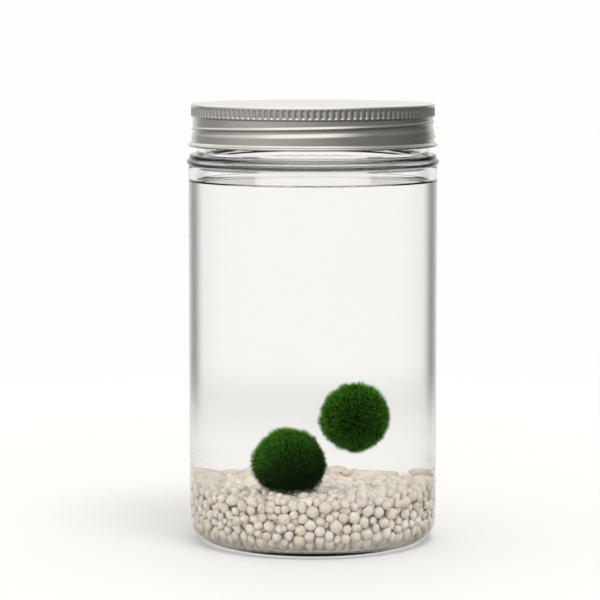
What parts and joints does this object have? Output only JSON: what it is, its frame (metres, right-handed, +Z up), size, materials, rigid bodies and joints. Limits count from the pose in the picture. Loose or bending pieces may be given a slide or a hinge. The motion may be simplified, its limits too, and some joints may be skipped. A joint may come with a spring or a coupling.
{
  "type": "marimo moss ball jar",
  "caption": "Marimo moss balls in a straight clear glass jar of water with a bed of cream gravel and an aluminium screw cap.",
  "frame": {"origin": "centre of the jar's flat base, on the surface that it stands on", "axes": "+Z up along the jar's axis; the front is -Y, with the resting ball front left and the floating ball front right"},
  "size_m": [0.0862, 0.0862, 0.15],
  "materials": {
    "clear_glass": "gloss",
    "satin_aluminium": "satin",
    "white_liner": "matte",
    "clear_water": "gloss",
    "cream_gravel": "matte",
    "green_moss": "matte"
  },
  "bodies": {
    "filled_jar": {"jar": "clear_glass", "water": "clear_water", "gravel": "cream_gravel", "resting_moss_ball": "green_moss", "floating_moss_ball": "green_moss"},
    "liner": {"cap_liner": "white_liner"},
    "cap": {"cap": "satin_aluminium"}
  },
  "joints": [
    {"name": "cap_rise", "type": "slide", "parent": "filled_jar", "child": "liner", "axis": [0, 0, 1], "range_m": [0, 0.0047]},
    {"name": "cap_turn", "type": "hinge", "parent": "liner", "child": "cap", "pos_m": [0, 0, 0.14], "axis": [0, 0, 1], "range_deg": [0, 331]}
  ],
  "couplings": [
    {"joint": "cap_rise", "follows": "cap_turn", "m_per_rad": 0.00080851}
  ]
}
